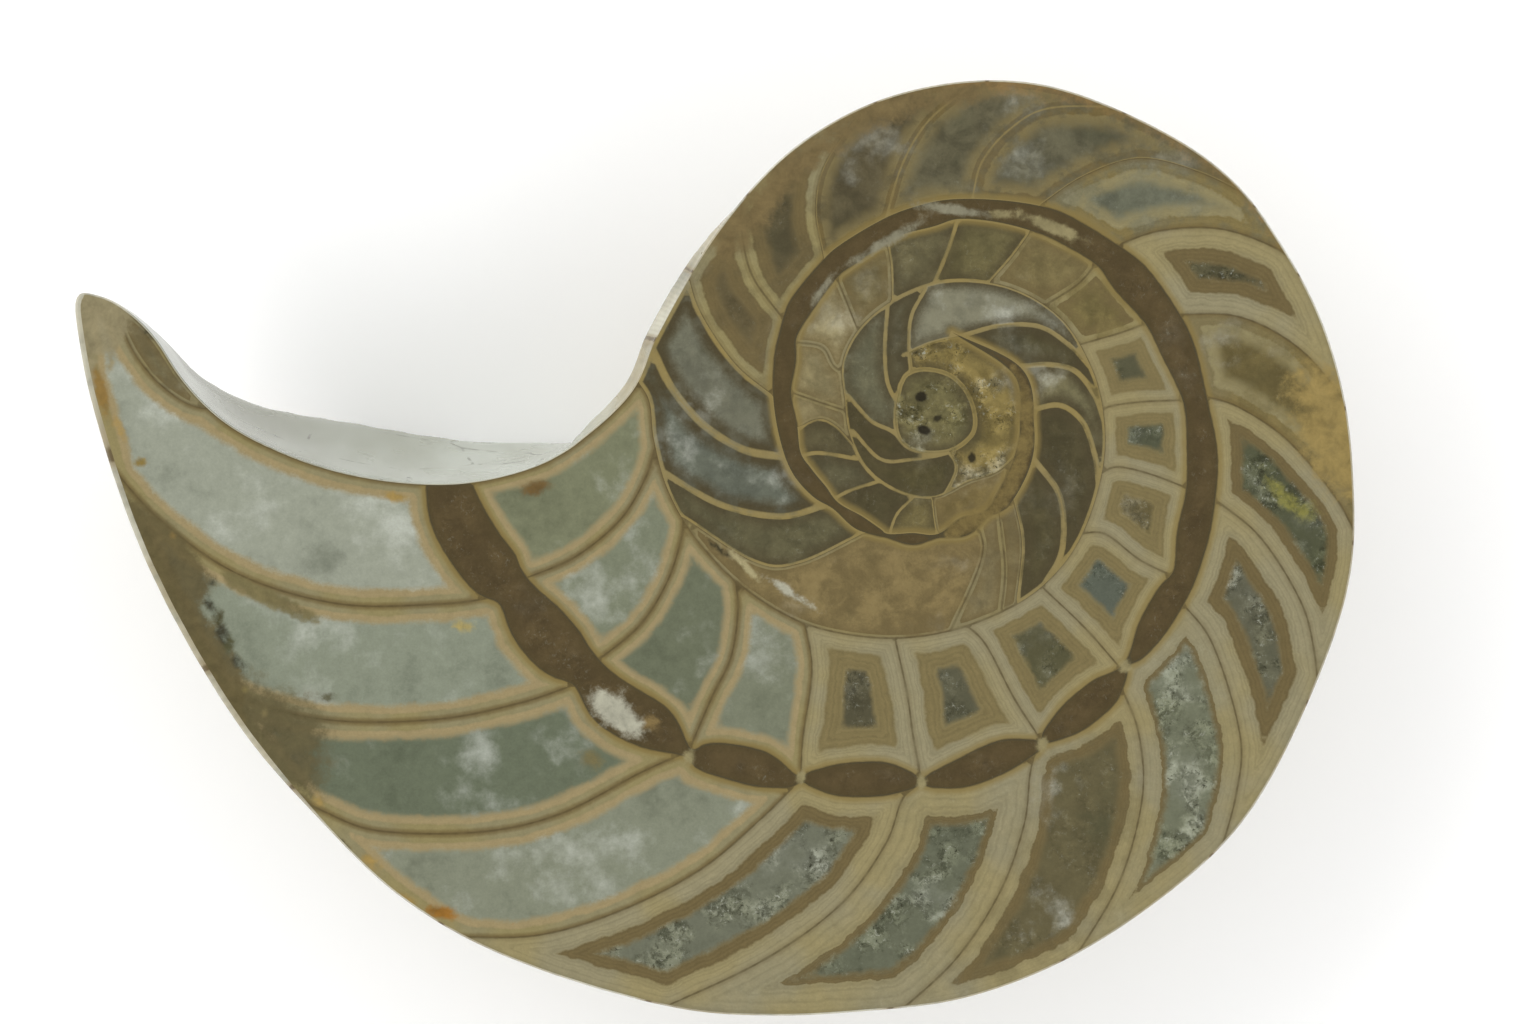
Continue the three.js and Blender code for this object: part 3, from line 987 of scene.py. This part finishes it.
broken = times(tree, kept(tree, "crystal"), rise(tree, middling, 0.4, 0.62))
facets = noise(tree, 0.5, detail=3, roughness=0.9, warp=0.6)
lumpy = blend_colours(tree, rise(tree, lumps, 0.42, 0.58), (0.55, 0.55, 0.5, 1), (1.45, 1.45, 1.43, 1))
core_stone = blend_colours(tree, broken, core_stone, tinted(tree, core_stone, lumpy))
# Pale specks on the crystals: their own pale colour and a painted highlight, for light glinting off
# their facets.
crystals_and_glints = times(tree, broken, rise(tree, facets, 0.56, 0.7))
pits = times(tree, broken, rise(tree, facets, 0.46, 0.32))
core_stone = blend_colours(tree, crystals_and_glints, core_stone, paint(CRYSTAL_AND_GLINT))
core_stone = blend_colours(tree, pits, core_stone, paint(PIT))

# Where mud came in, the core is blotched brown and olive and drawn out in streaks.
streaks = noise(tree, 2.4, detail=6, roughness=0.62, warp=0.35)
blotches = blend_colours(tree, rise(tree, streaks, 0.36, 0.64), (0.7, 0.68, 0.62, 1),
                         (1.3, 1.27, 1.18, 1))
core_stone = blend_colours(tree, patchy, core_stone, tinted(tree, core_stone, blotches))

core_depth = calculate(tree, "SUBTRACT", depth, margin_mm)
core_depth = plus(tree, core_depth, centred(tree, dust, 0.45))
softness = calculate(tree, "MULTIPLY_ADD", patchy, 0.9, 0.42)
in_core = rise(tree, core_depth, times(tree, softness, -0.7), softness)
thin_margin = times(tree, patchy, rise(tree, middling, 0.42, 0.6))
in_core = calculate(tree, "MAXIMUM", in_core, thin_margin)
stone = blend_colours(tree, in_core, margin_stone, core_stone)
stone = soiled(tree, stone, dust, 0.93, 1.06)
stone = soiled(tree, stone, small, 0.92, 1.07)

# The septum's line with brown stone beside it, and gold beside the siphuncle.
line_mm = plus(tree, kept(tree, "to_line"), centred(tree, small, 0.12))
beside = times(tree, rise(tree, line_mm, 0.12, 0.55, 1.0, 0.0), kept(tree, "beside_line"), 0.75)
stone = blend_colours(tree, beside, stone, paint(BESIDE_SEPTUM))
tube_mm = plus(tree, kept(tree, "to_tube"), centred(tree, small, 0.3))
beside_tube = times(tree, rise(tree, tube_mm, 0.2, 0.8, 0.68, 0.0), kept(tree, "outside_tube"))
stone = blend_colours(tree, beside_tube, stone, paint(BESIDE_SIPHUNCLE))
line_mm = plus(tree, line_mm, centred(tree, middling, 0.16))
septum_line = times(tree, rise(tree, line_mm, 0.03, 0.17, 0.9, 0.0),
                    rise(tree, middling, 0.25, 0.6, 0.35, 0.95),
                    rise(tree, small, 0.3, 0.6, 0.55, 1.0))
stone = blend_colours(tree, septum_line, stone, kept(tree, "line_shade", "Color"))

stain_here = plus(tree, kept(tree, "stain"), centred(tree, small, 0.8),
                  centred(tree, middling, 0.7), centred(tree, lumps, 0.9))
stain_share = rise(tree, stain_here, 0.25, 0.85, 0.0, 0.94)
mud_grain = shades(tree, lumps, [(0.32, 0.74), (0.5, 1.0), (0.68, 1.22)])
stain_stone = tinted(tree, kept(tree, "stain_colour", "Color"), mud_grain)
stone = blend_colours(tree, stain_share, stone, stain_stone)
feed(tree, shader.inputs["Base Color"], stone)
feed(tree, shader.inputs["Roughness"], rise(tree, dust, 0.3, 0.7, 0.14, 0.22))
shader.inputs["IOR"].default_value = 1.5


# The outside: the shell's own wall, turned to pale calcite and polished so thin that
# the sutures, where the septa meet it, show as brown lines from the coil's middle out.
# The hollow is the last septum, a smooth grey-white bowl with a few hairline cracks.
SUTURE_BEND = math.radians(13)
LAST_SUTURE_ANGLE = math.radians(182)
LAST_CHAMBER_TURN = math.radians(40)
# Across these pixels the bowl goes from painted shade to painted light.
BOWL_SHADE_TO_LIGHT_PX = (170, 540)
CRACK_SPACING = 13 * MM
WALL_PALE = (194, 190, 170)
WALL_TAN = (171, 161, 132)
WALL_GREY = (150, 150, 132)
SUTURE_EDGE = (146, 128, 88)
SUTURE_BROWN = (98, 82, 52)
UMBILICUS_SHADE = (112, 98, 68)
BOWL_GREY = (156, 158, 145)
BOWL_PALE = (171, 174, 164)
CRACK_BROWN = (92, 90, 76)


def hollow_share(points, normals):
    """How far each point lies on the last septum rather than on the shell's own wall."""
    line = smooth_line([(*on_face(x, y), share) for x, y, share in HOLLOW_EDGE], 0.5 * MM)
    nearest, away = nearest_on(line, points)
    faces_hollow = fade(normals[:, 0] * 0.3 + normals[:, 1], 0.15, 0.5)
    return line[nearest, 2] * faces_hollow * fade(away, 11 * MM, 8 * MM)


def suture_count(points):
    """Whole numbers where a septum meets the wall, counted back from the hollow."""
    centre = np.array(on_face(*COIL_CENTRE_PX))

    def turned(places):
        angle = np.arctan2(places[:, 1] - centre[1], places[:, 0] - centre[0])
        return np.mod(angle - LAST_SUTURE_ANGLE + 0.25, 2 * math.pi) - 0.25

    ends = np.array([on_face(*line[-1]) for line in OUTER_SEPTA[1:]])
    septum_angles = np.unwrap(turned(ends))
    radius = np.linalg.norm(points[:, :2] - centre, axis=1)
    outline_angles = turned(face_outline)
    order = np.argsort(outline_angles)
    outline_radius = np.linalg.norm(face_outline - centre, axis=1)
    reach = np.interp(turned(points), outline_angles[order], outline_radius[order])
    bend = SUTURE_BEND * np.sin(np.pi * np.clip(radius / reach, 0, 1))
    before, after = septum_angles[0] - LAST_CHAMBER_TURN, septum_angles[-1] + LAST_CHAMBER_TURN
    places = np.concatenate([[before], septum_angles, [after]])
    return np.interp(turned(points) - bend, places, np.arange(len(places))), radius


normals = np.array([v.normal for v in half_mesh.vertices])
sutures, from_centre = suture_count(points)
keep("hollow", hollow_share(points, normals), "POINT")
keep("suture", sutures, "POINT")
keep("from_centre", from_centre / MM, "POINT")

outside, tree, shader = material_for("outside")
broad = noise(tree, 12, detail=3)
middling = noise(tree, 3.2, detail=5)
small = noise(tree, 0.9, detail=5, roughness=0.7)
count = plus(tree, kept(tree, "suture"), centred(tree, small, 0.03))
into_chamber = calculate(tree, "FRACT", count)
to_suture = calculate(tree, "PINGPONG", count, 0.5)
wall_stone = blend_colours(tree, rise(tree, broad, 0.38, 0.62), paint(WALL_PALE), paint(WALL_TAN))
wall_stone = blend_colours(tree, rise(tree, middling, 0.5, 0.72, 0.0, 0.7), wall_stone,
                           paint(WALL_GREY))
deepening = shades(tree, into_chamber, [(0.0, 0.84), (0.3, 0.98), (0.7, 1.04), (1.0, 0.94)])
wall_stone = tinted(tree, wall_stone, deepening)
growth = growth_lines(tree, count, 92.0, centred(tree, middling, 7.0))
growth_shade = shades(tree, growth, [(0.0, 0.93), (0.6, 1.0), (1.0, 1.03)])
wall_stone = tinted(tree, wall_stone, growth_shade)
suture_edge = rise(tree, to_suture, 0.02, 0.07, 0.55, 0.0)
wall_stone = blend_colours(tree, suture_edge, wall_stone, paint(SUTURE_EDGE))
suture_line = rise(tree, to_suture, 0.008, 0.022, 0.85, 0.0)
wall_stone = blend_colours(tree, suture_line, wall_stone, paint(SUTURE_BROWN))
# Painted shade: the wall darkens to brown towards the coil's middle, for the shade in the funnel of
# the umbilicus.
umbilicus_shade_share = rise(tree, kept(tree, "from_centre"), 4.0, 11.0, 0.85, 0.0)
wall_stone = blend_colours(tree, umbilicus_shade_share, wall_stone, paint(UMBILICUS_SHADE))
wall_stone = soiled(tree, wall_stone, small, 0.93, 1.05)

haze = noise(tree, 7, detail=2, roughness=0.5, stretch=(1, 1, 0.3))
bowl_stone = blend_colours(tree, rise(tree, haze, 0.35, 0.65), paint(BOWL_GREY), paint(BOWL_PALE))
place = add(tree, "ShaderNodeTexCoord").outputs["Object"]
lengthwise = add(tree, "ShaderNodeSeparateXYZ")
feed(tree, lengthwise.inputs[0], place)
# Painted light and shade: the bowl is painted darker at its left end and paler towards the coil, for
# how the tent's light falls across it.
bowl_start, bowl_end = [on_face(x, 0)[0] for x in BOWL_SHADE_TO_LIGHT_PX]
bowl_light_share = rise(tree, lengthwise.outputs["X"], bowl_start, bowl_end)
painted_bowl_light = blend_colours(tree, bowl_light_share, (0.7, 0.695, 0.63, 1), (1.22, 1.24, 1.22, 1))
bowl_stone = tinted(tree, bowl_stone, painted_bowl_light)
crackle = add(tree, "ShaderNodeTexVoronoi", feature="DISTANCE_TO_EDGE")
feed(tree, crackle.inputs["Vector"], place)
feed(tree, crackle.inputs["Scale"], 1 / CRACK_SPACING)
crack = times(tree, rise(tree, crackle.outputs["Distance"], 0.004, 0.012, 1.0, 0.0),
              rise(tree, middling, 0.5, 0.6), 0.7)
bowl_stone = blend_colours(tree, crack, bowl_stone, paint(CRACK_BROWN))
wall_stone = blend_colours(tree, kept(tree, "hollow"), wall_stone, bowl_stone)
feed(tree, shader.inputs["Base Color"], wall_stone)
feed(tree, shader.inputs["Roughness"], rise(tree, broad, 0.3, 0.7, 0.2, 0.3))
shader.inputs["IOR"].default_value = 1.5

half_mesh.materials.append(outside)
half_mesh.materials.append(polished)
for polygon in half_mesh.polygons[outside_count:]:
    polygon.material_index = 1
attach(half, "root")
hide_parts("shell_half")


# The studio: a pale floor under the piece, light from the sides of a white tent and one
# soft window lamp. It is dark overhead, so that the polish mirrors nothing pale.
FLOOR_SHADE = 0.96
TENT_LIGHT = 1.68
OVERHEAD = 0.06
bpy.context.scene.view_settings.view_transform = "Standard"
bpy.ops.mesh.primitive_plane_add(size=4, location=(0, 0, 0))
floor = bpy.context.object
floor.name = "floor"
floor_paint, tree, shader = material_for("floor_paint")
shader.inputs["Base Color"].default_value = (FLOOR_SHADE, FLOOR_SHADE, FLOOR_SHADE, 1)
shader.inputs["Roughness"].default_value = 0.9
floor.data.materials.append(floor_paint)

world = bpy.data.worlds.new("studio")
world.use_nodes = True
tree = world.node_tree
tent = tree.nodes["Background"]
sky = add(tree, "ShaderNodeSeparateXYZ")
feed(tree, sky.inputs[0], add(tree, "ShaderNodeTexCoord").outputs["Generated"])
brightness = rise(tree, sky.outputs["Z"], 0.74, 0.93, 1.0, OVERHEAD)
feed(tree, tent.inputs["Strength"], times(tree, brightness, TENT_LIGHT))
feed(tree, tent.inputs["Color"], (1, 1, 1, 1))
bpy.context.scene.world = world

WINDOW_AT = Vector((-0.7, 0.6, 0.5))
WINDOW_AIM = Vector((0, 0, 0.02))
lamp = bpy.data.lights.new("window", "AREA")
lamp.size = 1.2
lamp.energy = 4
window = bpy.data.objects.new("window", lamp)
window.location = WINDOW_AT
window.rotation_euler = (WINDOW_AIM - WINDOW_AT).to_track_quat("-Z", "Y").to_euler()
bpy.context.collection.objects.link(window)

CAMERA_HEIGHT = 1.2
SENSOR = 36
PHOTO_WIDTH_PX = 1536
PHOTO_MIDDLE_PX = (768, 512)
camera = bpy.data.objects.new("camera", bpy.data.cameras.new("camera"))
middle_x, middle_y = on_face(*PHOTO_MIDDLE_PX)
camera.location = (middle_x, middle_y, FACE_LEVEL + CAMERA_HEIGHT)
camera.data.sensor_width = SENSOR
camera.data.lens = SENSOR * CAMERA_HEIGHT / (PHOTO_WIDTH_PX * PIXEL)
bpy.context.collection.objects.link(camera)
bpy.context.scene.camera = camera
